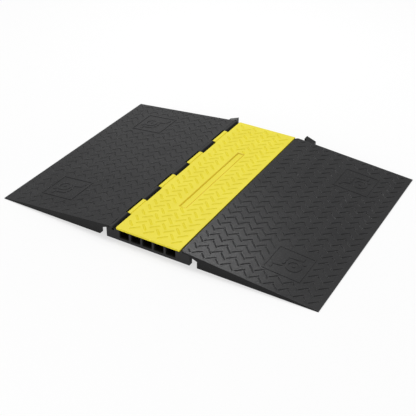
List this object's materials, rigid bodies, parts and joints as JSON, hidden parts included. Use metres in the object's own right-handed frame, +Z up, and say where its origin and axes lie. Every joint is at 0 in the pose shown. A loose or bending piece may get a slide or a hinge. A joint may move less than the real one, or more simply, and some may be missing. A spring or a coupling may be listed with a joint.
{
  "type": "cable protector ramp",
  "caption": "Low-profile cable protector: open cable channels under a hinged lid, between two long gentle ramps with end connectors.",
  "frame": {"origin": "on the ground, under the middle of the centre unit, halfway between its two end faces", "axes": "+X across the protector in the direction of traffic, from the hinge side to the lid's free edge; +Y along the cable channels, from the end with the sockets to the end with the T-shaped tabs; +Z up"},
  "size_m": [1.27, 0.9634, 0.0476],
  "materials": {
    "black_rubber": "matt moulded",
    "ramp_rubber": "satin moulded",
    "yellow_lid": "satin moulded polyurethane",
    "rod_steel": "drawn",
    "plug_plastic": "matt"
  },
  "bodies": {
    "centre": {"centre_base": "black_rubber", "hinge_rod": "rod_steel", "rod_plug_near": "plug_plastic", "rod_plug_far": "plug_plastic"},
    "lid": {"lid": "yellow_lid"},
    "left_ramp": {"left_ramp": "ramp_rubber"},
    "right_ramp": {"right_ramp": "ramp_rubber"}
  },
  "joints": [
    {"name": "lid_hinge", "type": "hinge", "parent": "centre", "child": "lid", "pos_m": [-0.1405, 0, 0.039], "axis": [0, -1, 0], "range_deg": [0, 95]},
    {"name": "left_ramp_lift", "type": "slide", "parent": "centre", "child": "left_ramp", "axis": [0, 0, 1], "range_m": [0, 0.045]},
    {"name": "right_ramp_lift", "type": "slide", "parent": "centre", "child": "right_ramp", "axis": [0, 0, 1], "range_m": [0, 0.045]}
  ]
}
